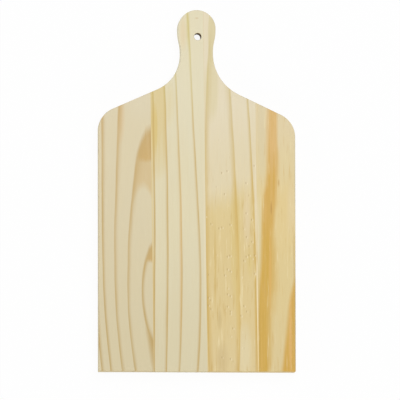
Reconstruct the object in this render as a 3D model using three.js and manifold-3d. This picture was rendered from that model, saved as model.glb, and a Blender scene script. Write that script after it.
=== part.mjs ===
// Paddle-shaped pine cutting board with a waisted handle and a hanging hole.
// It is made as the real one is: staves are edge-glued into a panel, and the panel is sawn to one outline,
// drilled and sanded. Units are millimetres. The board lies flat on Z = 0, with its handle towards +Y
// and its origin under the middle of its length and width.

import * as THREE from "three";
import { mergeVertices } from "three/addons/utils/BufferGeometryUtils.js";
import Module from "manifold-3d";

// Sawn board
const BOARD_LENGTH = 400;
const BOARD_WIDTH = 217.4;
const BOARD_THICKNESS = 18;

// Panel: four staves side by side, with a film of glue in each of the three edge joints. The two outer staves were
// wider before the outline was sawn, and have what it leaves them.
const HANDLE_STAVE_WIDTH = 59.2;
const MIDDLE_STAVE_WIDTH = 56.6;
const GLUE_THICKNESS = 0.2;

// The outline was sawn a little askew of the staves, so the seams lean to the left on their way up. In degrees.
const SEAM_LEAN = 0.6;

// Handle: a round head that draws in to a waist
const HEAD_RADIUS = 20.8;
const WAIST_WIDTH = 35.6;
const WAIST_FROM_TOP = 48;

// Shoulders: each side was sawn by eye, so the two differ a little. Slopes are in degrees below level.
const LEFT_FLARE_RADIUS = 44;
const LEFT_SHOULDER_SLOPE = 23.7;
const LEFT_SHOULDER_RADIUS = 25;
const RIGHT_FLARE_RADIUS = 50.5;
const RIGHT_SHOULDER_SLOPE = 25.5;
const RIGHT_SHOULDER_RADIUS = 27.5;

// Sanded edge all round, on both faces and at both ends of the hole
const ARRIS_RADIUS = 1;

// The two nearly square corners at the foot, measured on the flat face inside the sanded edge
const CORNER_RADIUS = 0.5;

// Hanging hole, drilled in the handle stave a little to the right of the handle's middle. The last value is the
// wood that is left between the hole and the seam beside it.
const HOLE_DIAMETER = 8;
const HOLE_FROM_TOP = 29.5;
const HOLE_OFFSET = 1;
const HOLE_TO_SEAM = 2.3;

// Facets: steps along a draw-in curve, half of those along an arc, and those across a sanded edge
const CURVE_STEPS = 12;
const ARRIS_STEPS = 3;

const side = BOARD_WIDTH / 2;
const waist = WAIST_WIDTH / 2;
const waistHeight = BOARD_LENGTH - WAIST_FROM_TOP;
const headHeight = BOARD_LENGTH - HEAD_RADIUS;
const holeHeight = BOARD_LENGTH - HOLE_FROM_TOP;
const quarterTurn = Math.PI / 2;

const wasm = await Module();
wasm.setup();

// One shoulder. The flare leaves the waist upright and turns outwards until it falls at the shoulder's slope,
// and a straight run at that slope meets the arc that turns down the side. The height is the arc's centre.
function shoulder(flareRadius, slopeDegrees, radius) {
  const slope = THREE.MathUtils.degToRad(slopeDegrees);
  const flareEndX = waist + flareRadius * (1 - Math.sin(slope));
  const flareEndY = waistHeight - flareRadius * Math.cos(slope);
  const arcStartX = side - radius * (1 - Math.sin(slope));
  const arcStartY = flareEndY - (arcStartX - flareEndX) * Math.tan(slope);
  return { flareRadius, slope, radius, height: arcStartY - radius * Math.cos(slope) };
}

// The sawn outline, anticlockwise from the left end of the foot, with Y measured up from the foot.
function boardOutline() {
  const left = shoulder(LEFT_FLARE_RADIUS, LEFT_SHOULDER_SLOPE, LEFT_SHOULDER_RADIUS);
  const right = shoulder(RIGHT_FLARE_RADIUS, RIGHT_SHOULDER_SLOPE, RIGHT_SHOULDER_RADIUS);
  const corner = CORNER_RADIUS + ARRIS_RADIUS;
  const drawIn = (headHeight + waistHeight) / 2;
  const outline = new THREE.Shape();

  // Foot and right side
  outline.moveTo(corner - side, 0);
  outline.absarc(side - corner, corner, corner, -quarterTurn, 0, false);
  outline.absarc(side - right.radius, right.height, right.radius, 0, quarterTurn - right.slope, false);
  const rightFlareStart = 3 * quarterTurn - right.slope;
  outline.absarc(waist + right.flareRadius, waistHeight, right.flareRadius, rightFlareStart, Math.PI, true);

  // Handle
  outline.bezierCurveTo(waist, drawIn, HEAD_RADIUS, drawIn, HEAD_RADIUS, headHeight);
  outline.absarc(0, headHeight, HEAD_RADIUS, 0, Math.PI, false);
  outline.bezierCurveTo(-HEAD_RADIUS, drawIn, -waist, drawIn, -waist, waistHeight);

  // Left side
  const leftFlareEnd = left.slope - quarterTurn;
  outline.absarc(-waist - left.flareRadius, waistHeight, left.flareRadius, 0, leftFlareEnd, true);
  outline.absarc(left.radius - side, left.height, left.radius, quarterTurn + left.slope, Math.PI, false);
  outline.absarc(corner - side, corner, corner, Math.PI, 3 * quarterTurn, false);
  outline.closePath();
  return outline;
}

function hangingHole() {
  const hole = new THREE.Path();
  hole.absarc(HOLE_OFFSET, holeHeight, HOLE_DIAMETER / 2, 0, 4 * quarterTurn, true);
  return hole;
}

// A closed geometry as a solid that can be cut.
function solidOf(geometry) {
  geometry.deleteAttribute("normal");
  geometry.deleteAttribute("uv");
  const merged = mergeVertices(geometry);
  const mesh = new wasm.Mesh({
    numProp: 3,
    vertProperties: merged.getAttribute("position").array,
    triVerts: new Uint32Array(merged.index.array),
  });
  return new wasm.Manifold(mesh);
}

function geometryOf(solid) {
  const mesh = solid.getMesh();
  const geometry = new THREE.BufferGeometry();
  geometry.setAttribute("position", new THREE.BufferAttribute(mesh.vertProperties, 3));
  geometry.setIndex(new THREE.BufferAttribute(mesh.triVerts, 1));
  geometry.computeVertexNormals();
  return geometry;
}

// The whole panel, sawn, drilled and sanded, before it is told apart into its pieces.
function panelSolid() {
  const outline = boardOutline();
  outline.holes.push(hangingHole());
  const geometry = new THREE.ExtrudeGeometry(outline, {
    depth: BOARD_THICKNESS - 2 * ARRIS_RADIUS,
    curveSegments: CURVE_STEPS,
    bevelEnabled: true,
    bevelThickness: ARRIS_RADIUS,
    bevelSize: ARRIS_RADIUS,
    bevelOffset: -ARRIS_RADIUS,
    bevelSegments: ARRIS_STEPS,
  });
  geometry.translate(0, 0, ARRIS_RADIUS);
  return solidOf(geometry);
}

// All that lies to the left of a plane along the seams, to cut with. The plane is set by its distance to the right
// of the hole's axis.
function leftOf(distance) {
  const reach = 2 * BOARD_WIDTH;
  const geometry = new THREE.BoxGeometry(reach, 3 * BOARD_LENGTH, 3 * BOARD_THICKNESS);
  geometry.translate(distance - reach / 2, 0, BOARD_THICKNESS / 2);
  geometry.rotateZ(THREE.MathUtils.degToRad(SEAM_LEAN));
  geometry.translate(HOLE_OFFSET, holeHeight, 0);
  return solidOf(geometry);
}

function pine(colour) {
  return new THREE.MeshStandardMaterial({ color: colour, roughness: 0.72, metalness: 0 });
}

function driedGlue() {
  return new THREE.MeshStandardMaterial({ color: 0xc4a163, roughness: 0.45, metalness: 0 });
}

// Where each film of glue starts, to the right of the hole's axis
const handleSeam = HOLE_DIAMETER / 2 + HOLE_TO_SEAM;
const leftSeam = handleSeam - HANDLE_STAVE_WIDTH - GLUE_THICKNESS;
const rightSeam = handleSeam + GLUE_THICKNESS + MIDDLE_STAVE_WIDTH;

// Pieces from left to right, each up to its right-hand side. The last one runs on past the outline.
const pieces = [
  { name: "left_stave", upTo: leftSeam, material: pine(0xdbceac) },
  { name: "left_glue_line", upTo: leftSeam + GLUE_THICKNESS, material: driedGlue() },
  { name: "handle_stave", upTo: handleSeam, material: pine(0xe2dabc) },
  { name: "handle_glue_line", upTo: handleSeam + GLUE_THICKNESS, material: driedGlue() },
  { name: "middle_stave", upTo: rightSeam, material: pine(0xe0cd9c) },
  { name: "right_glue_line", upTo: rightSeam + GLUE_THICKNESS, material: driedGlue() },
  { name: "right_stave", upTo: BOARD_WIDTH, material: pine(0xdfc58d) },
];

const cuttingBoard = new THREE.Group();
cuttingBoard.name = "cutting_board";
cuttingBoard.position.y = -BOARD_LENGTH / 2;

let rest = panelSolid();
for (const piece of pieces) {
  const cut = leftOf(piece.upTo);
  const mesh = new THREE.Mesh(geometryOf(rest.intersect(cut)), piece.material);
  mesh.name = piece.name;
  cuttingBoard.add(mesh);
  rest = rest.subtract(cut);
}

export default cuttingBoard;
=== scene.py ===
import bpy
import numpy as np
from mathutils import Matrix, Vector
from mathutils.geometry import delaunay_2d_cdt


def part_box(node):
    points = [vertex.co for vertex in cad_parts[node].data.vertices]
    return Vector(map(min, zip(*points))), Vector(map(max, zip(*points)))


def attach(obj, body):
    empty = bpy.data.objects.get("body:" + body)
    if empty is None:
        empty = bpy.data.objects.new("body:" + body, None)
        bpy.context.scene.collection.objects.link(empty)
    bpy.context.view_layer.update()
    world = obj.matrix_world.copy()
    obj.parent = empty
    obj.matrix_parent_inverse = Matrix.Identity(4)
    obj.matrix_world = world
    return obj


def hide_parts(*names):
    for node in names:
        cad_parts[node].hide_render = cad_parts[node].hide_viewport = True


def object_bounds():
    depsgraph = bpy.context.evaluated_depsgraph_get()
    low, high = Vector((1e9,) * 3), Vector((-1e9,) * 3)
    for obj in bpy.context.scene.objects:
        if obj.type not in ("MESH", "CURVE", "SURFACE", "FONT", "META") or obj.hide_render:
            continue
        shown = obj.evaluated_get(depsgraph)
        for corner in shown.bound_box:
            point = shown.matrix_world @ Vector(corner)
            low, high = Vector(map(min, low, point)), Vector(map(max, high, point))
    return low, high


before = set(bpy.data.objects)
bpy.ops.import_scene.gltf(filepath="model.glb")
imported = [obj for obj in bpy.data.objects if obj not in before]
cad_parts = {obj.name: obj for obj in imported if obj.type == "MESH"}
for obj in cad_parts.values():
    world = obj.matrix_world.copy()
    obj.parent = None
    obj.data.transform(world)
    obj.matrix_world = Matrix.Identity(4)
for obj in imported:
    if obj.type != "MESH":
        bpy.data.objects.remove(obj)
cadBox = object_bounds()
mm = 0.001

# Outline and seams of the board in millimetres and degrees, with Y measured from the middle of its length
boardShape = {
    "length": (cadBox[1].y - cadBox[0].y) / mm,
    "width": (cadBox[1].x - cadBox[0].x) / mm,
    "thickness": (cadBox[1].z - cadBox[0].z) / mm,
    "headRadius": 20.8,
    "waistWidth": 35.6,
    "waistFromTop": 48.0,
    "leftShoulder": {"flare": 44.0, "slope": 23.7, "radius": 25.0},
    "rightShoulder": {"flare": 50.5, "slope": 25.5, "radius": 27.5},
    "footCorner": 0.6,
    "holeRadius": 4.0,
    "holeFromTop": 29.5,
    "holeOffset": 1.0,
    "seamLean": 0.6,
    "glue": 0.2,
}

# Sanded edge, in millimetres
sandedEdge = {
    "radius": 0.8,  # on average
    "wander": 0.1,  # how far the radius wanders along the outline
    "waves": (7, 17),  # how many times it does so all the way round
    "atCorner": 0.45,  # radius at the two foot corners, which are crisp
    "growth": 0.08,  # how much it grows with each millimetre away from them
    "atHole": 0.25,  # radius at the hole, whose rim is crisp too
    "steps": 6,  # how finely the rounding is drawn
}

# Fineness of the meshes, in millimetres and degrees
meshGrain = {
    "run": 2.5,  # step along straight runs and seams
    "turn": 3.0,  # step round arcs
    "holeTurn": 5.0,  # step round the hole
    "arcSteps": 8,  # fewest steps of an arc
    "drawInSteps": 24,
    "lattice": 6.0,  # step of the points inside a face
    "rimClear": 0.6,  # their gap to the rim, in such steps
    "seamClear": 1.4,  # gap that the outline's other points keep to a seam
    "onSeam": 0.01,  # how near a point counts as on a seam
    "merge": 1e-7,  # how near two points of a face count as one
    "sharp": 40.0,  # angle from which an edge stays sharp
}

# Heights along the board at which a stave's log is described, from the foot to the handle
logHeights = (-200.0, -80.0, 40.0, 160.0)

seamLean = np.radians(boardShape["seamLean"])
upSeam = np.array([-np.sin(seamLean), np.cos(seamLean)])
holeY = boardShape["length"] / 2 - boardShape["holeFromTop"]


# Distance to the right of the hole's axis, square to the seams
def acrossSeams(x, y):
    return (x - boardShape["holeOffset"]) * np.cos(seamLean) + (y - holeY) * np.sin(seamLean)


# A stretch of circle from one angle to another, in even steps, without its last point
def arc(centre, radius, fromTurn, toTurn):
    steps = max(meshGrain["arcSteps"], int(abs(toTurn - fromTurn) / meshGrain["turn"]))
    turn = np.radians(np.linspace(fromTurn, toTurn, steps, endpoint=False))
    return np.array(centre) + radius * np.stack([np.cos(turn), np.sin(turn)], axis=1)


# A straight run in even steps, without its last point
def straight(start, end):
    steps = max(1, int(np.hypot(end[0] - start[0], end[1] - start[1]) / meshGrain["run"]))
    return np.linspace(start, end, steps, endpoint=False)


# An S curve that leaves one point and reaches another upright: a cubic whose inner points share a mid height
def drawIn(start, end):
    middle = (start[1] + end[1]) / 2
    t = np.linspace(0, 1, meshGrain["drawInSteps"], endpoint=False)[:, None]
    inner = np.array([start[0], middle]), np.array([end[0], middle])
    return ((1 - t) ** 3 * np.array(start) + 3 * (1 - t) ** 2 * t * inner[0]
            + 3 * (1 - t) * t ** 2 * inner[1] + t ** 3 * np.array(end))


# Where a shoulder's curves meet, on the right-hand side, and the height of its arc's centre: the flare leaves
# the waist upright and turns out to the slope, and a straight run at that slope meets the arc that turns down
# the side
def shoulderPoints(shoulder):
    slope = np.radians(shoulder["slope"])
    side, waist = boardShape["width"] / 2, boardShape["waistWidth"] / 2
    waistY = boardShape["length"] / 2 - boardShape["waistFromTop"]
    flareX = waist + shoulder["flare"] * (1 - np.sin(slope))
    flareY = waistY - shoulder["flare"] * np.cos(slope)
    arcX = side - shoulder["radius"] * (1 - np.sin(slope))
    arcY = flareY - (arcX - flareX) * np.tan(slope)
    return (flareX, flareY), (arcX, arcY), arcY - shoulder["radius"] * np.cos(slope)


# The whole sawn outline, anticlockwise from the left of the foot. Columns are x, y, the inward normal's x and
# y, the sanded edge's radius, which wanders along the outline as a sum of two sines and is small near the
# foot corners, and the end grain that shows there, which is the square of the normal's y
def boardOutline():
    s = boardShape
    side, waist, foot = s["width"] / 2, s["waistWidth"] / 2, -s["length"] / 2
    waistY, headY = s["length"] / 2 - s["waistFromTop"], s["length"] / 2 - s["headRadius"]
    corner, head = s["footCorner"], s["headRadius"]
    right, left = s["rightShoulder"], s["leftShoulder"]
    rightFlareEnd, rightArcStart, rightY = shoulderPoints(right)
    leftFlareEnd, leftArcStart, leftY = shoulderPoints(left)
    points = np.vstack([
        straight((corner - side, foot), (side - corner, foot)),
        arc((side - corner, foot + corner), corner, -90, 0),
        straight((side, foot + corner), (side, rightY)),
        arc((side - right["radius"], rightY), right["radius"], 0, 90 - right["slope"]),
        straight(rightArcStart, rightFlareEnd),
        arc((waist + right["flare"], waistY), right["flare"], 270 - right["slope"], 180),
        drawIn((waist, waistY), (head, headY)),
        arc((0, headY), head, 0, 180),
        drawIn((-head, headY), (-waist, waistY)),
        arc((-waist - left["flare"], waistY), left["flare"], 0, left["slope"] - 90),
        straight((-leftFlareEnd[0], leftFlareEnd[1]), (-leftArcStart[0], leftArcStart[1])),
        arc((left["radius"] - side, leftY), left["radius"], 90 + left["slope"], 180),
        straight((-side, leftY), (-side, foot + corner)),
        arc((corner - side, foot + corner), corner, 180, 270),
    ])
    along = np.roll(points, -1, axis=0) - np.roll(points, 1, axis=0)
    along /= np.linalg.norm(along, axis=1, keepdims=True)
    inward = np.stack([-along[:, 1], along[:, 0]], axis=1)
    steps = np.linalg.norm(points - np.roll(points, 1, axis=0), axis=1)
    turn = 2 * np.pi * np.cumsum(steps) / steps.sum()
    waves = sum(np.sin(count * turn + count) for count in sandedEdge["waves"])
    fromCorner = np.hypot(side - np.abs(points[:, 0]), points[:, 1] - foot)
    crisp = sandedEdge["atCorner"] + sandedEdge["growth"] * fromCorner
    edge = np.minimum(sandedEdge["radius"] + sandedEdge["wander"] * waves, crisp)
    return np.column_stack([points, inward, edge, inward[:, 1] ** 2])


# The outline with a point where it crosses each seam plane, and clear of other points close to a seam. A
# point on a seam moves along the seam when the edge is rounded, as far as keeps it on the edge
def withSeams(outline, planes):
    across = acrossSeams(outline[:, 0], outline[:, 1])
    clear = np.abs(across[:, None] - planes).min(axis=1) > meshGrain["seamClear"]
    points, order = [outline[clear]], [np.flatnonzero(clear)]
    following, followingAcross = np.roll(outline, -1, axis=0), np.roll(across, -1)
    for plane in planes:
        before, after = across - plane, followingAcross - plane
        at = np.flatnonzero((before > 0) != (after > 0))
        share = before[at] / (before[at] - after[at])
        cut = outline[at] + share[:, None] * (following[at] - outline[at])
        cut[:, 2:4] = upSeam / (cut[:, 2:4] @ upSeam)[:, None]
        points.append(cut)
        order.append(at + share)
    return np.vstack(points)[np.argsort(np.concatenate(order))]


# The closed loop round one strip of the panel: what lies between two seam planes, with points along them
def stripLoop(outline, lowPlane, highPlane):
    across = acrossSeams(outline[:, 0], outline[:, 1])
    near = meshGrain["onSeam"]
    loop = outline[(across > lowPlane - near) & (across < highPlane + near)]
    for plane in (lowPlane, highPlane):
        onSeam = np.flatnonzero(np.abs(acrossSeams(loop[:, 0], loop[:, 1]) - plane) < near)
        if len(onSeam) == 2:
            first, second = onSeam
            start, end = (first, second) if second == first + 1 else (second, first)
            steps = int(abs(loop[end, 1] - loop[start, 1]) / meshGrain["run"])
            added = np.linspace(loop[start], loop[end], steps, endpoint=False)[1:]
            loop = np.insert(loop, start + 1, added, axis=0)
    return loop


# Clockwise circle round the hanging hole, with the same columns as the outline
def holeLoop():
    turn = np.radians(np.arange(360, 0, -meshGrain["holeTurn"]))
    away = np.stack([np.cos(turn), np.sin(turn)], axis=1)
    edge = np.full(len(turn), sandedEdge["atHole"])
    around = np.array([boardShape["holeOffset"], holeY]) + boardShape["holeRadius"] * away
    return np.column_stack([around, away, edge, away[:, 1] ** 2])


# A rounded edge carried along a loop: at angle a of its quarter turn a point lies inwards by the radius times
# 1 - sin a and below the face by the radius times 1 - cos a, and the lower half mirrors the upper. Rows run
# from the top face down, and each point has x, y, z and its end grain, which grows with sin a
def edgeGrid(loop):
    turn = np.radians(np.linspace(0, 90, sandedEdge["steps"] + 1))[:, None]
    inset, drop = (1 - np.sin(turn)) * loop[:, 4], (1 - np.cos(turn)) * loop[:, 4]
    grain = np.sin(turn) * loop[:, 5]
    inset, grain = np.vstack([inset, inset[::-1]]), np.vstack([grain, grain[::-1]])
    height = np.vstack([boardShape["thickness"] - drop, drop[::-1]])
    x, y = loop[:, 0] + inset * loop[:, 2], loop[:, 1] + inset * loop[:, 3]
    return np.stack([x, y, height, grain], axis=2)


# Quads between the rows of such a grid, which closes on itself along each row
def gridQuads(rows, columns, first):
    index = first + np.arange(rows * columns).reshape(rows, columns)
    following = np.roll(index, -1, axis=1)
    return np.stack([index[:-1], index[1:], following[1:], following[:-1]], axis=2).reshape(-1, 4)


# Whether each spot lies inside a set of loops: a ray to its right meets their edges an odd number of times
def insideLoops(spots, loops):
    start, end = np.vstack(loops), np.vstack([np.roll(loop, -1, axis=0) for loop in loops])
    x, y = spots[:, :1], spots[:, 1:]
    straddles = (start[:, 1] > y) != (end[:, 1] > y)
    rise = np.where(straddles, end[:, 1] - start[:, 1], 1)
    meets = start[:, 0] + (y - start[:, 1]) / rise * (end[:, 0] - start[:, 0])
    return (straddles & (x < meets)).sum(axis=1) % 2 == 1


# Even rows of points inside the loops, each row shifted by half a step, that keep clear of the loops' points
def latticeInside(loops):
    step, rims = meshGrain["lattice"], np.vstack(loops)
    rowStep = step * 0.866  # the height of an even triangle
    low, high = rims.min(axis=0), rims.max(axis=0)
    column, row = np.meshgrid(np.arange(low[0], high[0], step), np.arange(low[1], high[1], rowStep))
    column = column + (np.arange(len(row)) % 2)[:, None] * step / 2
    spots = np.stack([column.ravel(), row.ravel()], axis=1)
    spots = spots[insideLoops(spots, loops)]
    gap = np.linalg.norm(spots[:, None] - rims[None], axis=2).min(axis=1)
    return spots[gap > step * meshGrain["rimClear"]]


# Triangles of a flat face with the given edge loops, the first outside the others, and loose points inside: a
# Delaunay net of the points that keeps the loops' edges, less what lies in a hole, all facing up
def faceTriangles(loops, spots):
    points = np.vstack(loops + [spots])
    edges, first = [], 0
    for loop in loops:
        index = first + np.arange(len(loop))
        edges.append(np.stack([index, np.roll(index, -1)], axis=1))
        first += len(loop)
    withinEdges = 1  # the kind of net that doesn't fill out to the hull
    corners, sides = [Vector(point) for point in points], np.vstack(edges).tolist()
    found = delaunay_2d_cdt(corners, sides, [], withinEdges, meshGrain["merge"])
    original = np.array([index[0] for index in found[3]])
    triangles = original[np.array(found[2])]
    triangles = triangles[insideLoops(points[triangles].mean(axis=1), loops)]
    a, b, c = (points[triangles[:, k]] for k in range(3))
    turned = (b[:, 0] - a[:, 0]) * (c[:, 1] - a[:, 1]) < (b[:, 1] - a[:, 1]) * (c[:, 0] - a[:, 0])
    triangles[turned] = triangles[turned][:, ::-1]
    return triangles


# One strip of the panel as a closed mesh: rounded edges carried round its loops, and two flat faces
def stripPiece(name, node, loops):
    grids = [edgeGrid(loop) for loop in loops]
    rims = [grid[0, :, :2] for grid in grids]
    spots = latticeInside(rims)
    triangles = faceTriangles(rims, spots)
    counts = [grid.shape[0] * grid.shape[1] for grid in grids]
    firsts = np.concatenate([[0], np.cumsum(counts)])
    rows = grids[0].shape[0]
    walls = np.vstack([gridQuads(*grid.shape[:2], first) for grid, first in zip(grids, firsts)])
    topIndex = [first + np.arange(grid.shape[1]) for grid, first in zip(grids, firsts)]
    footIndex = [index + (rows - 1) * len(index) for index in topIndex]
    topSpots = firsts[-1] + np.arange(len(spots))
    top = np.concatenate(topIndex + [topSpots])[triangles]
    under = np.concatenate(footIndex + [topSpots + len(spots)])[triangles][:, ::-1]
    level, plain = np.full(len(spots), boardShape["thickness"]), np.zeros(len(spots))
    points = np.vstack([grid.reshape(-1, 4) for grid in grids]
                       + [np.column_stack([spots, level, plain]), np.column_stack([spots, plain, plain])])
    mesh = bpy.data.meshes.new(name)
    mesh.from_pydata((points[:, :3] * mm).tolist(), [], walls.tolist() + top.tolist() + under.tolist())
    endGrain = mesh.attributes.new("endGrain", "FLOAT", "POINT")
    endGrain.data.foreach_set("value", points[:, 3].astype(np.float32))
    mesh.polygons.foreach_set("use_smooth", np.arange(len(mesh.polygons)) < len(walls))
    mesh.set_sharp_from_angle(angle=np.radians(meshGrain["sharp"]))
    mesh.update()
    piece = bpy.data.objects.new(name, mesh)
    bpy.context.scene.collection.objects.link(piece)
    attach(piece, "root")
    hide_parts(node)
    print(name, "points", len(points), "faces", len(mesh.polygons))
    return piece


# How far a seed moves a noise along each axis
seedShift = (1.0, 0.7, 1.3)


# A socket that takes part in sums: each operator adds a Math node
class Wire:
    def __init__(self, socket):
        self.socket = socket

    # Any node, by its type, its settings and its inputs. A ramp's stops are (place, colour), and a curve's
    # points are (place, level)
    def node(self, kind, settings, inputs, output=0):
        tree = self.socket.id_data
        made = tree.nodes.new(kind)
        for key, value in settings.items():
            if key == "stops":
                setStops(made.color_ramp, value)
            elif key == "points":
                setPoints(made.mapping, value)
            else:
                setattr(made, key, value)
        for key, value in inputs.items():
            if isinstance(value, Wire):
                tree.links.new(value.socket, made.inputs[key])
            else:
                made.inputs[key].default_value = value
        return Wire(made.outputs[output]) if made.outputs else None

    def math(self, operation, first, second, clamp=False):
        settings = {"operation": operation, "use_clamp": clamp}
        return self.node("ShaderNodeMath", settings, {0: first, 1: second})

    def __add__(self, other):
        return self.math("ADD", self, other)

    def __sub__(self, other):
        return self.math("SUBTRACT", self, other)

    def __rsub__(self, other):
        return self.math("SUBTRACT", other, self)

    def __mul__(self, other):
        return self.math("MULTIPLY", self, other)

    def __truediv__(self, other):
        return self.math("DIVIDE", self, other)

    def __rtruediv__(self, other):
        return self.math("DIVIDE", other, self)

    def __pow__(self, other):
        return self.math("POWER", self, other)

    __radd__ = __add__
    __rmul__ = __mul__

    # Kept between 0 and 1
    def clamp(self):
        return self.math("ADD", self, 0.0, clamp=True)

    def least(self, other):
        return self.math("MINIMUM", self, other)

    def most(self, other):
        return self.math("MAXIMUM", self, other)

    def sign(self):
        return self.math("SIGN", self, 0.0)

    # Eased in and out between 0 and 1
    def eased(self):
        return self * self * (3 - self * 2)

    def axis(self, index):
        return self.node("ShaderNodeSeparateXYZ", {}, {0: self}, index)

    # The first colour at 0 and the second at 1
    def blend(self, first, second):
        return self.node("ShaderNodeMix", {"data_type": "RGBA"}, {0: self, 6: first, 7: second}, 2)

    # A place counted in spans, which are in millimetres, and then moved
    def placed(self, span, shift):
        inputs = {0: self, 1: tuple(1 / (mm * length) for length in span), 2: shift}
        return self.node("ShaderNodeVectorMath", {"operation": "MULTIPLY_ADD"}, inputs)

    # Noise from -1 to 1 about, stretched by how many millimetres one blotch spans along each axis
    def noise(self, span, detail, seed):
        place = self.placed(span, tuple(seed * share for share in seedShift))
        inputs = {"Vector": place, "Scale": 1.0, "Detail": detail}
        return self.node("ShaderNodeTexNoise", {}, inputs) * 2 - 1

    # A smooth curve through points of this value and another, level beyond its ends
    def curve(self, points):
        low, high = np.min(points, axis=0), np.max(points, axis=0)
        levels = ((np.array(points) - low) / (high - low)).tolist()
        share = ((self - float(low[0])) * float(1 / (high[0] - low[0]))).clamp()
        level = self.node("ShaderNodeFloatCurve", {"points": levels}, {"Value": share})
        return level * float(high[1] - low[1]) + float(low[1])


# A new ramp's own two stops become the ends, and the others are added, with eased colour between them
def setStops(ramp, stops):
    ramp.interpolation = "EASE"
    for (place, colour), spare in zip((stops[0], stops[-1]), ramp.elements):
        spare.position, spare.color = place, colour
    for place, colour in stops[1:-1]:
        ramp.elements.new(place).color = colour


# A new curve's points in the same way, without overshoot
def setPoints(mapping, points):
    curve = mapping.curves[0]
    for ends, spare in zip((points[0], points[-1]), curve.points):
        spare.location = ends
    for place, level in points[1:-1]:
        curve.points.new(place, level)
    for point in curve.points:
        point.handle_type = "AUTO_CLAMPED"
    mapping.update()


# A screen colour as the light that it stands for, by the sRGB curve
def paint(red, green, blue):
    shade = np.array([red, green, blue]) / 255
    light = np.where(shade <= 0.04045, shade / 12.92, ((shade + 0.055) / 1.055) ** 2.4)
    return (*light.tolist(), 1.0)


# A cubic in y, in millimetres, through four values at the log's heights
def alongLog(y, values):
    a, b, c, d = np.polyfit(logHeights, values, 3).tolist()
    return ((y * a + b) * y + c) * y + d


# A colour that changes along the board, eased from each stop's height to the next
def toneAlong(y, stops):
    low, high = stops[0][0], stops[-1][0]
    ramp = [((height - low) / (high - low), tone) for height, tone in stops]
    return y.node("ShaderNodeValToRGB", {"stops": ramp}, {0: (y - low) * (1 / (high - low))})


# An edge of a band: a plain x, or a curve through points of y and x
def edgeAlong(y, edge):
    return y.curve(edge) if isinstance(edge, list) else edge


# A new material and its Object coordinates
def newFinish(name):
    material = bpy.data.materials.new(name)
    material.use_nodes = True
    coordinates = material.node_tree.nodes.new("ShaderNodeTexCoord")
    return material, Wire(coordinates.outputs["Object"])


# Values or wires on the material's main shader
def setShader(material, inputs):
    shader = material.node_tree.nodes["Principled BSDF"]
    for key, value in inputs.items():
        if isinstance(value, Wire):
            material.node_tree.links.new(value.socket, shader.inputs[key])
        else:
            shader.inputs[key].default_value = value


# A growth ring: it darkens over a soft width up to its radius and ends sharply outside it
def growthRing(radius, soft=2.4, sharp=0.7, dark=0.8, power=1.5):
    return {"radius": radius, "soft": soft, "sharp": sharp, "dark": dark, "power": power}


# A tinted oval on the working face. A gain above one gives it a level middle, with a bow it sags towards the
# sides, as under a cathedral's arch, with a lean it follows the seams, and it stays inside a ring where one
# is given
def stain(x, y, spanX, spanY, strength, tone, gain=1.0, inside=None, bow=0.0, lean=False):
    return {"x": x, "y": y, "spanX": spanX, "spanY": spanY, "strength": strength, "tone": paint(*tone),
            "gain": gain, "inside": inside, "bow": bow, "lean": lean}


# A soft oval: one less the squared distance from its middle, in spans, down to nothing at its rim
def oval(x, y, patch):
    across = (x - patch["x"]) * (1 / patch["spanX"])
    along = (y - patch["y"] + across * across * patch.get("bow", 0.0)) * (1 / patch["spanY"])
    return (1 - across * across - along * along).clamp()


# Short resin canals: an oval dash at the middle of some cells of a stretched mosaic. They come in columns and
# thin out towards the handle, and each dark dash has a pale one beside it
def resinDashes(place, y, colour, dashes, columns):
    common = ((dashes["upTo"] - y) * (1 / dashes["fade"])).clamp()
    common = common * (dashes["columnLevel"] + columns * dashes["columnGain"]).clamp() * dashes["share"]
    for tone, (shiftX, shiftY) in ((dashes["dark"], (0, 0)), (dashes["pale"], dashes["paleShift"])):
        width, length = dashes["cell"]
        cells = place.placed((width, length, 1), (shiftX / width, shiftY / length, 0))
        mosaic, inputs = {"voronoi_dimensions": "2D"}, {"Vector": cells, "Scale": 1.0}
        gap = place.node("ShaderNodeTexVoronoi", mosaic, inputs, "Distance")
        chance = place.node("ShaderNodeTexVoronoi", mosaic, inputs, "Color")
        red = place.node("ShaderNodeSeparateColor", {}, {0: chance})
        inside = ((dashes["size"] - gap) * dashes["rimGain"]).clamp()
        chosen = ((common - red) * dashes["chanceGain"]).clamp()
        colour = (inside * chosen * dashes["strength"]).blend(colour, tone)
    return colour


# Noises of the wood: how many millimetres one blotch spans along each axis, its detail, and what is added to
# the log's seed
woodNoise = {
    "wander": ((30, 90, 30), 2.0, 0),
    "ripple": ((3, 40, 3), 2.0, 3),
    "streak": ((1.6, 70, 1.6), 3.0, 5),
    "hair": ((0.9, 25, 0.9), 2.0, 6),
    "fibre": ((0.35, 12, 0.35), 2.0, 7),
    "drift": ((18, 120, 18), 2.0, 9),
    "mottle": ((14, 45, 14), 2.0, 11),
    "front": ((6, 50, 6), 2.0, 13),
    "columns": ((11, 300, 11), 1.0, 15),
    "fleck": ((2.2, 30, 2.2), 3.0, 17),
}

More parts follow.
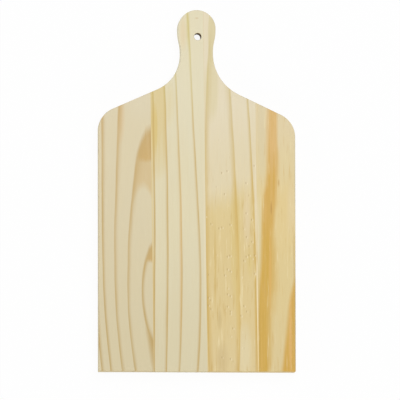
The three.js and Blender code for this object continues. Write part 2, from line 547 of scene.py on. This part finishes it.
# What the four staves share
wood = {
    "wander": 0.6, "ripple": 0.15,  # millimetres by which the rings stray
    "lateDrift": 0.06,  # slow change in the share of late wood
    "stainStreak": 0.5, "stainMottle": 0.3,  # unevenness of a stain
    "stainFade": 0.15,  # what a stain loses with each millimetre below the working face
    "stainRim": 6.0,  # how sharply it ends at its ring
    "bandStreak": 0.3, "deepGain": 0.7, "warmGain": 0.5, "toneLevel": 0.15,  # unevenness of a band
    "fleckFrom": 0.2, "fleckGain": 3.0,  # level at which a fleck starts, and how sharply
    "fleckFade": 100.0,  # millimetres over which the flecks die out
    "paintedBoreShadeRim": 4.0,  # how sharply the painted shade in the hole ends at its rim
    "fibreShade": 0.035, "hairShade": 0.012, "redDrift": 0.008, "blueDrift": 0.025,  # shares of a tone
    "endShare": 0.35,  # how much of the end tone shows on end grain
    "lateHeight": 0.5, "fibreHeight": 0.3, "bump": 0.25, "bumpDepth": 0.0002,  # the depth is in metres
    "roughness": 0.68, "fibreRough": 0.06, "lateSmooth": 0.06, "specular": 0.3,
}


# Pine cut from its own log. A point's ring radius is its distance from the pith, which runs under the working
# face, over the swell of the log there, and a bulge lifts or sinks the rings in an oval. Early wood changes
# its tone along the board on a front that may slant and be ragged. Tints lie under the ring lines and marks
# over them. A band is late wood between edges that are drawn on the working face, and goes down into the log
# along the rings
def pine(name, log):
    material, place = newFinish(name)

    def grain(kind):
        span, detail, shift = woodNoise[kind]
        return place.noise(span, detail, log["seed"] + shift)

    x, y, z = (place.axis(k) * (1 / mm) for k in range(3))
    below = boardShape["thickness"] - z
    pithX, pithDepth = alongLog(y, log["pithX"]), alongLog(y, log["pithDepth"])
    across, depth = x - pithX, pithDepth - below
    reach = across * across + depth * depth
    wander = grain("wander") * wood["wander"] + grain("ripple") * wood["ripple"]
    ring = reach ** 0.5 / alongLog(y, log["swell"]) + wander
    for bulge in log["bulges"]:
        ring = ring + oval(x, y, bulge) * bulge["lift"]
    streak, hair, fibre, mottle = (grain(kind) for kind in ("streak", "hair", "fibre", "mottle"))

    # Each ring's line is dark at its radius, and the darkest line counts
    lines = None
    for each in log["rings"]:
        rise = ((ring - (each["radius"] - each["soft"])) * (1 / each["soft"])).clamp() ** each["power"]
        fall = ((each["radius"] + each["sharp"] - ring) * (1 / each["sharp"])).clamp()
        line = rise.least(fall) * each["dark"]
        lines = line if lines is None else lines.most(line)
    late = streak * log["streaks"] + hair * log["hairs"] + grain("drift") * wood["lateDrift"]
    late = (late + lines * (1 + streak * log["grain"])).clamp()

    def stained(colour, stains):
        for each in stains:
            alongX = x + (y - each["y"]) * float(np.tan(seamLean)) if each["lean"] else x
            uneven = 1 + streak * wood["stainStreak"] + mottle * wood["stainMottle"]
            patch = (oval(alongX, y, each) * each["gain"] * uneven).clamp()
            patch = patch * (1 - below * wood["stainFade"]).clamp()
            if each["inside"] is not None:
                patch = patch * ((each["inside"] - ring) * wood["stainRim"]).clamp()
            colour = (patch * each["strength"]).blend(colour, each["tone"])
        return colour

    slantX, slant = log["slant"]
    front = y - (x - slantX) * slant + (streak + grain("front")) * log["ragged"]
    early = stained(toneAlong(front, log["early"]), log["tints"])
    colour = late.blend(early, toneAlong(y, log["late"]))

    for band in log["bands"]:
        faceX = pithX + across.sign() * (reach - pithDepth * pithDepth).most(0.0) ** 0.5 + wander
        start, full, fading, gone = (edgeAlong(y, band[key]) for key in ("start", "full", "fading", "gone"))
        rise, fall = ((faceX - start) / (full - start)).clamp(), ((gone - faceX) / (gone - fading)).clamp()
        deep = (streak * wood["deepGain"] + wood["toneLevel"]).clamp()
        warm = (hair * wood["warmGain"] + wood["toneLevel"]).clamp()
        tone = warm.blend(deep.blend(toneAlong(y, band["tone"]), band["deep"]), band["warm"])
        cover = rise.least(fall).eased() * (1 + streak * wood["bandStreak"]) * band["strength"]
        colour = cover.clamp().blend(colour, tone)

    colour = stained(colour, log["marks"])

    # Pale and dark flecks along the grain
    fleck = grain("fleck")
    common = ((log["flecksUpTo"] - y) * (1 / wood["fleckFade"])).clamp() * log["flecks"]
    pale = ((fleck - wood["fleckFrom"]) * wood["fleckGain"]).clamp() * common
    dark = ((-wood["fleckFrom"] - fleck) * wood["fleckGain"]).clamp() * common
    colour = dark.blend(pale.blend(colour, log["paleFleck"]), log["darkFleck"])

    if log["dashes"]:
        colour = resinDashes(place, y, colour, log["dashes"], grain("columns"))

    # The wall of the hanging hole, darkened with painted shade, partly the drill's burnish
    if log["paintedBoreShade"]:
        fromAxis = ((x - boardShape["holeOffset"]) ** 2 + (y - holeY) ** 2) ** 0.5
        rim = boardShape["holeRadius"] + sandedEdge["atHole"]
        colour = ((rim - fromAxis) * wood["paintedBoreShadeRim"]).clamp().blend(colour, log["paintedBoreShade"])

    # Light and dark fibres, a faint drift of hue, and duller end grain
    shade = 1 + fibre * wood["fibreShade"] + hair * wood["hairShade"]
    shades = {0: shade + mottle * wood["redDrift"], 1: shade, 2: shade - mottle * wood["blueDrift"]}
    tint = place.node("ShaderNodeCombineXYZ", {}, shades)
    colour = place.node("ShaderNodeVectorMath", {"operation": "MULTIPLY"}, {0: colour, 1: tint})
    endGrain = place.node("ShaderNodeAttribute", {"attribute_name": "endGrain"}, {}, "Fac")
    colour = (endGrain * wood["endShare"]).blend(colour, log["endTone"])

    height = late * wood["lateHeight"] + fibre * wood["fibreHeight"]
    relief = {"Strength": wood["bump"], "Distance": wood["bumpDepth"], "Height": height}
    roughness = wood["roughness"] + fibre * wood["fibreRough"] - late * wood["lateSmooth"]
    setShader(material, {"Base Color": colour, "Roughness": roughness,
                         "Specular IOR Level": wood["specular"],
                         "Normal": place.node("ShaderNodeBump", {}, relief)})
    return material


# Dried glue in the seams
glueFilm = {"span": (3, 20, 3), "detail": 3.0, "seed": 4.0, "dark": paint(206, 180, 122),
            "pale": paint(224, 202, 150), "roughness": 0.5, "cloudRough": 0.08}


# A thin pale film with faint cloudiness along the joint
def driedGlue(name):
    material, place = newFinish(name)
    cloud = place.noise(glueFilm["span"], glueFilm["detail"], glueFilm["seed"])
    colour = (cloud * 0.5 + 0.5).clamp().blend(glueFilm["dark"], glueFilm["pale"])
    roughness = glueFilm["roughness"] + cloud * glueFilm["cloudRough"]
    setShader(material, {"Base Color": colour, "Roughness": roughness})
    return material


# The four logs, in millimetres. Values given along the board go from the foot to the handle
leftLog = {
    "seed": 11.0,
    "pithX": (-43.2, -52.3, -51.9, -62.7),
    "pithDepth": (47.0, 47.7, 57.9, 64.5),
    "swell": (0.984, 0.987, 1.100, 1.090),
    "rings": [
        growthRing(31.0), growthRing(36.5), growthRing(41.4),
        growthRing(47.6, soft=1.2, dark=1.0), growthRing(54.1, soft=2.0, sharp=0.45, dark=0.85),
        growthRing(62.2, soft=2.8, dark=0.84), growthRing(71.4, soft=2.8, dark=0.95),
        growthRing(79.0, soft=3.4, dark=0.95), growthRing(87.0), growthRing(96.0),
    ],
    "bulges": [
        {"x": -26, "y": -106, "spanX": 38, "spanY": 75.8, "lift": -4.5},
        {"x": -52, "y": 68, "spanX": 20, "spanY": 34, "lift": 0.3},
    ],
    "bands": [],
    "tints": [
        stain(-59.5, 27, 15, 26, 0.75, (212, 186, 136), gain=1.6, inside=54.1, bow=46),
        stain(-56, 50, 18, 20, 0.85, (206, 172, 110), gain=2.2, inside=54.1, bow=4),
        stain(-50, -65, 14, 16, 0.9, (202, 168, 106), gain=1.8, inside=47.6),
        stain(-85, 82, 6, 34, 0.5, (221, 190, 142), inside=62.2),
    ],
    "marks": [stain(-51.6, 49, 0.9, 26, 0.35, (176, 138, 82), lean=True)],
    "grain": 0.3, "streaks": 0.06, "hairs": 0.05, "slant": (0, 0), "ragged": 0.0,
    "dashes": None, "paintedBoreShade": None,
    "flecks": 0.1, "flecksUpTo": 300, "paleFleck": paint(232, 222, 194), "darkFleck": paint(204, 184, 140),
    "early": [(-200, paint(215, 202, 166)), (60, paint(221, 208, 174)), (120, paint(223, 211, 181))],
    "late": [(-200, paint(190, 162, 104)), (-40, paint(197, 168, 112)), (120, paint(201, 170, 114))],
    "endTone": paint(200, 180, 138),
}
handleLog = {
    "seed": 23.0,
    "pithX": (-117, -106, -85, -102),
    "pithDepth": (8, 33.5, 40, 32.5),
    "swell": (1.10, 1.07, 0.86, 0.93),
    "rings": [
        growthRing(38.5), growthRing(51.0), growthRing(63.6, soft=2.2, sharp=0.9, dark=0.95),
        growthRing(75.7, soft=2.8, sharp=1.0, dark=0.86), growthRing(89.0, soft=2.8, sharp=1.0, dark=0.75),
        growthRing(107.0, soft=2.8, sharp=1.2, dark=0.8),
    ],
    "bulges": [],
    "bands": [],
    "tints": [
        stain(-46, 88, 26, 80, 0.8, (220, 199, 142), gain=1.3, inside=75.7),
        stain(-31, 98, 8, 30, 0.5, (224, 208, 160)),
        stain(-47.2, 68, 4.5, 32, 0.6, (217, 190, 112), gain=1.3),
        stain(-49.4, -70, 1.7, 150, 0.7, (222, 200, 142), gain=1.5, lean=True),
        stain(8.2, -60, 1.1, 110, 0.5, (234, 221, 188), gain=1.5, lean=True),
        stain(-15, 174, 5, 22, 0.5, (228, 206, 164)),
        stain(-9.4, 178, 2.6, 24, 0.5, (217, 204, 150)),
        stain(0, 191, 2.4, 1.2, 0.5, (205, 178, 128)),
    ],
    "marks": [
        stain(-49.9, 49, 0.6, 26, 0.4, (238, 222, 178), lean=True),
        stain(-18.0, -70, 2.0, 110, 0.35, (224, 184, 124)),
    ],
    "grain": 0.3, "streaks": 0.09, "hairs": 0.09, "slant": (0, 0), "ragged": 0.0, "dashes": None,
    # painted shade on the hanging hole's wall, partly the drill's burnish
    "paintedBoreShade": paint(134, 99, 38),
    "flecks": 0.1, "flecksUpTo": 300, "paleFleck": paint(236, 228, 204), "darkFleck": paint(208, 190, 144),
    "early": [(-200, paint(218, 207, 172)), (0, paint(225, 215, 181)), (120, paint(227, 218, 187))],
    "late": [(-200, paint(190, 155, 84)), (-60, paint(194, 161, 92)), (60, paint(200, 168, 100)),
             (150, paint(206, 190, 122))],
    "endTone": paint(202, 184, 142),
}
middleLog = {
    "seed": 37.0,
    "pithX": (29.6, 28.0, 24.9, 23.8),
    "pithDepth": (22.0, 18.7, 20.7, 18.6),
    "swell": (1.061, 1.002, 1.010, 0.819),
    "rings": [
        growthRing(8.0), growthRing(12.5), growthRing(16.5),
        growthRing(25.9, soft=3.2, sharp=0.6, dark=0.8, power=1.2),
        growthRing(40.6, soft=2.8, dark=1.0, power=1.4), growthRing(54.0, soft=3.0),
    ],
    "bulges": [],
    "bands": [],
    "tints": [
        stain(17.5, 172, 5.5, 36, 0.85, (218, 205, 163), gain=3.0),
        stain(16, 112, 9, 40, 0.6, (219, 206, 162), gain=1.5),
        stain(17, -50, 7, 50, 0.4, (219, 195, 134)),
        stain(42.5, -60, 6.5, 85, 0.65, (219, 195, 128), gain=1.6, lean=True),
        stain(55, -30, 5, 36, 0.6, (228, 210, 174)),
        stain(58.5, -80, 4, 18, 0.6, (221, 198, 130)),
        stain(52, -180, 9, 40, 0.8, (226, 212, 172)),
        stain(24.5, -143, 3, 14, 0.7, (206, 182, 128)),
        stain(27.5, -186, 8, 22, 0.55, (204, 180, 130)),
    ],
    "marks": [
        stain(10.6, 10, 1.8, 40, 0.4, (222, 204, 158)),
        stain(19.8, -85, 1.7, 56, 0.85, (211, 183, 116)),
        stain(45.2, -120, 2.6, 90, 0.6, (221, 195, 130), lean=True),
        stain(49, -120, 1.6, 40, 0.4, (236, 220, 172)),
        stain(65.0, -10, 2.0, 58, 0.8, (233, 220, 189), lean=True),
        stain(66.9, -120, 1.5, 84, 0.9, (242, 224, 184), lean=True),
        stain(67.4, -185, 1.4, 60, 0.75, (238, 211, 150)),
    ],
    "grain": 0.3, "streaks": 0.15, "hairs": 0.13, "slant": (36, 0.35), "ragged": 8.0, "paintedBoreShade": None,
    "dashes": {"cell": (3, 8), "size": 0.2, "rimGain": 12.0, "share": 0.2, "chanceGain": 30.0,
               "columnLevel": 0.5, "columnGain": 1.6, "upTo": 75, "fade": 90, "strength": 0.5,
               "paleShift": (-1.6, 0.8), "dark": paint(168, 138, 86), "pale": paint(244, 230, 196)},
    "flecks": 0.75, "flecksUpTo": 60, "paleFleck": paint(240, 224, 178), "darkFleck": paint(204, 172, 104),
    "early": [(-200, paint(222, 201, 150)), (-130, paint(222, 200, 146)), (-50, paint(222, 200, 145)),
              (-24, paint(223, 202, 148)), (12, paint(226, 212, 176)), (110, paint(229, 217, 188))],
    "late": [(-200, paint(202, 165, 84)), (-140, paint(204, 167, 80)), (-60, paint(206, 170, 86)),
             (0, paint(206, 174, 98)), (60, paint(205, 180, 118)), (150, paint(210, 194, 142)),
             (186, paint(218, 205, 163))],
    "endTone": paint(200, 176, 124),
}
rightLog = {
    "seed": 53.0,
    "pithX": (88, 93.3, 99, 99.5),
    "pithDepth": (28, 28, 28, 28),
    "swell": (1, 1, 1, 1),
    "rings": [growthRing(8.0), growthRing(15.0), growthRing(22.0)],
    "bulges": [],
    "bands": [
        {"start": [(-200, 65.5), (-150, 65.8), (-106, 66.6), (-79, 67.8), (-34, 69.4), (-12, 70.6),
                   (10, 72.5), (32, 74.2), (90, 74.2)],
         "full": [(-200, 68.2), (-150, 68.6), (-106, 71.0), (-79, 73.1), (-34, 74.2), (-12, 74.8),
                  (10, 79.5), (32, 80.3), (90, 81.9)],
         "fading": [(-200, 75.6), (-172, 74.0), (-128, 73.6), (-106, 78.0), (-57, 78.8), (-34, 81.9),
                    (10, 84.7), (60, 86.3), (90, 86.3)],
         "gone": [(-200, 83.0), (-172, 87.0), (-150, 87.0), (-128, 91.5), (-79, 93.0), (-57, 90.0),
                  (-34, 88.0), (-12, 91.1), (32, 93.3), (60, 90.7), (90, 90.7)],
         "strength": 1.0,
         "tone": [(-200, paint(209, 170, 80)), (-60, paint(209, 170, 80)), (-21, paint(213, 173, 96)),
                  (14, paint(214, 173, 94)), (34, paint(217, 178, 112)), (52, paint(222, 185, 126))],
         "deep": paint(203, 165, 76), "warm": paint(219, 178, 102)},
        {"start": [(-200, 90.2), (-187, 92.6), (-171, 94.4), (-148, 96.2), (-126, 98.8), (-110, 102.0),
                   (-99, 105.0), (-77, 108.6)],
         "full": [(-200, 96.6), (-171, 99.4), (-148, 102.4), (-126, 104.5), (-110, 107.5), (-77, 113.0)],
         "fading": 200.0, "gone": 210.0, "strength": 1.0,  # runs on past the side
         "tone": [(-200, paint(210, 168, 80)), (-60, paint(210, 168, 82))],
         "deep": paint(203, 163, 74), "warm": paint(219, 177, 104)},
    ],
    "tints": [
        stain(68.5, -45, 4, 60, 0.8, (223, 210, 168), lean=True),
        stain(71, 62, 6, 60, 0.6, (217, 203, 166), lean=True),
        stain(105, -20, 7, 36, 0.5, (229, 212, 172)),
    ],
    "marks": [
        stain(90.4, 8.6, 0.8, 5, 0.8, (196, 156, 92)),
        stain(81.9, -19, 0.7, 9, 0.9, (176, 130, 70)),
        stain(80.8, -95, 1.6, 65, 0.6, (224, 180, 108)),
        stain(67.1, -42, 1.2, 42, 0.7, (232, 218, 185), lean=True),
        # painted shade along the right edge
        stain(107.2, -72, 1.6, 40, 0.7, (205, 181, 127)),
        stain(68.7, -150, 1.0, 75, 0.5, (190, 158, 90), lean=True),
        stain(79.9, -145, 1.3, 28, 0.45, (203, 170, 94)),
        stain(78.0, -182, 1.3, 26, 0.5, (203, 168, 92)),
        stain(103, -160, 2.0, 55, 0.6, (230, 185, 120)),
        # painted shade along the right edge, down its length
        stain(108.2, -150, 1.3, 80, 0.5, (196, 174, 122)),
        stain(108.2, 30, 1.3, 90, 0.4, (205, 196, 165)),
    ],
    "grain": 0.4, "streaks": 0.1, "hairs": 0.08, "slant": (0, 0), "ragged": 0.0,
    "dashes": None, "paintedBoreShade": None,
    "flecks": 0.55, "flecksUpTo": 300, "paleFleck": paint(238, 222, 176), "darkFleck": paint(208, 172, 102),
    "early": [(-200, paint(221, 201, 150)), (-104, paint(223, 202, 147)), (-16, paint(226, 203, 146)),
              (28, paint(225, 207, 160)), (78, paint(225, 208, 168))],
    "late": [(-200, paint(206, 166, 82)), (100, paint(206, 170, 100))],
    "endTone": paint(200, 172, 114),
}

# The strips of the panel from left to right, told apart by the two faces of each film of glue. A film's right
# face is found at the foot, where it reaches furthest to the right
strips = [
    ("leftStave", "left_stave", "left_pine"), ("leftGlueLine", "left_glue_line", "dried_glue"),
    ("handleStave", "handle_stave", "handle_pine"), ("handleGlueLine", "handle_glue_line", "dried_glue"),
    ("middleStave", "middle_stave", "middle_pine"), ("rightGlueLine", "right_glue_line", "dried_glue"),
    ("rightStave", "right_stave", "right_pine"),
]
finishes = {
    "left_pine": pine("leftPine", leftLog), "handle_pine": pine("handlePine", handleLog),
    "middle_pine": pine("middlePine", middleLog), "right_pine": pine("rightPine", rightLog),
    "dried_glue": driedGlue("driedGlue"),
}
filmBoxes = [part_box(node) for _, node, slot in strips if slot == "dried_glue"]
filmFaces = [acrossSeams(high.x / mm, low.y / mm) for low, high in filmBoxes]
seamPlanes = np.array([face - back for face in filmFaces for back in (boardShape["glue"], 0)])
outline = withSeams(boardOutline(), seamPlanes)
limits = [-np.inf, *seamPlanes, np.inf]
for (name, node, slot), lowPlane, highPlane in zip(strips, limits, limits[1:]):
    loops = [stripLoop(outline, lowPlane, highPlane)]
    if name == "handleStave":
        loops.append(holeLoop())
    stripPiece(name, node, loops).data.materials.append(finishes[slot])
print("board made")

# Studio: a white floor that keeps a faint shadow, an even sky, a soft lamp from the upper right, and weak
# ones from the left and the foot
studio = {"floorSize": 8.0, "floorBelow": 0.0001, "floorWhite": 0.92, "whiteShare": 0.94, "sky": 0.44,
          "lamps": [{"at": (0.5, 0.8, 2.2), "size": 1.8, "power": 30.0},
                    {"at": (-2.2, -0.6, 0.8), "size": 1.4, "power": 12.0},
                    {"at": (0.2, -2.2, 0.8), "size": 1.4, "power": 12.0}]}


# A factor of 1 for what the camera sees directly, in a gloss or through glass
def seenDirectly(tree):
    path = tree.nodes.new("ShaderNodeLightPath")
    kinds = ("Camera", "Glossy", "Transmission")
    direct, gloss, through = (Wire(path.outputs[f"Is {kind} Ray"]) for kind in kinds)
    return direct.most(gloss).most(through)


# One square just below the board, nearly white where it is seen and plain paper for the light
def makeFloor():
    half, level = studio["floorSize"] / 2, -studio["floorBelow"]
    corners = [(x * half, y * half, level) for x, y in ((-1, -1), (1, -1), (1, 1), (-1, 1))]
    mesh = bpy.data.meshes.new("floor")
    mesh.from_pydata(corners, [], [(0, 1, 2, 3)])
    floor = bpy.data.objects.new("floor", mesh)
    bpy.context.scene.collection.objects.link(floor)
    material = bpy.data.materials.new("whiteFloor")
    material.use_nodes = True
    tree = material.node_tree
    tree.nodes.clear()
    seen = seenDirectly(tree)
    white = (studio["floorWhite"],) * 3 + (1,)
    paper = seen.node("ShaderNodeBsdfDiffuse", {}, {"Color": white})
    glow = seen.node("ShaderNodeEmission", {}, {"Color": (1, 1, 1, 1), "Strength": 1.0})
    mixed = seen.node("ShaderNodeMixShader", {}, {0: seen * studio["whiteShare"], 1: paper, 2: glow})
    seen.node("ShaderNodeOutputMaterial", {}, {"Surface": mixed})
    mesh.materials.append(material)


# A sky that looks white and lights evenly, and lamps that face the origin
def makeLight():
    world = bpy.data.worlds.new("studio")
    bpy.context.scene.world = world
    world.use_nodes = True
    tree = world.node_tree
    tree.nodes.clear()
    seen = seenDirectly(tree)
    strength = seen * (1 - studio["sky"]) + studio["sky"]
    sky = seen.node("ShaderNodeBackground", {}, {"Color": (1, 1, 1, 1), "Strength": strength})
    seen.node("ShaderNodeOutputWorld", {}, {"Surface": sky})
    for each in studio["lamps"]:
        lamp = bpy.data.lights.new("softbox", "AREA")
        lamp.size, lamp.energy = each["size"], each["power"]
        lampObject = bpy.data.objects.new("softbox", lamp)
        bpy.context.scene.collection.objects.link(lampObject)
        lampObject.location = each["at"]
        lampObject.rotation_euler = (-Vector(each["at"])).to_track_quat("-Z", "Y").to_euler()
        lampObject.visible_camera = False


# Camera almost straight above, a little towards the left and the foot. Angles in degrees, lengths in metres
camera = {"fromLeft": 4.0, "fromFoot": 5.0, "roll": -0.1, "distance": 12.0, "frame": 0.4411,
          "aim": (0.0032, -0.0106, 0.018), "sensor": 36.0, "clipEnd": 50.0}  # the sensor is in millimetres


# The lens makes the frame's width fill the picture at the aim's distance
def makeCamera():
    left, foot = -np.sin(np.radians(camera["fromLeft"])), -np.sin(np.radians(camera["fromFoot"]))
    back = Vector((left, foot, np.sqrt(1 - left ** 2 - foot ** 2)))
    right = Vector((0, 1, 0)).cross(back).normalized()
    up = back.cross(right)
    made = bpy.data.cameras.new("camera")
    made.sensor_width = camera["sensor"]
    made.lens = made.sensor_width * camera["distance"] / camera["frame"]
    made.clip_end = camera["clipEnd"]
    cameraObject = bpy.data.objects.new("camera", made)
    bpy.context.scene.collection.objects.link(cameraObject)
    facing = Matrix((right, up, back)).transposed().to_4x4()
    roll = Matrix.Rotation(np.radians(camera["roll"]), 4, "Z")
    place = Matrix.Translation(Vector(camera["aim"]) + back * camera["distance"])
    cameraObject.matrix_world = place @ facing @ roll
    bpy.context.scene.camera = cameraObject


makeFloor()
makeLight()
makeCamera()
bpy.context.scene.view_settings.view_transform = "Standard"
print("studio made")
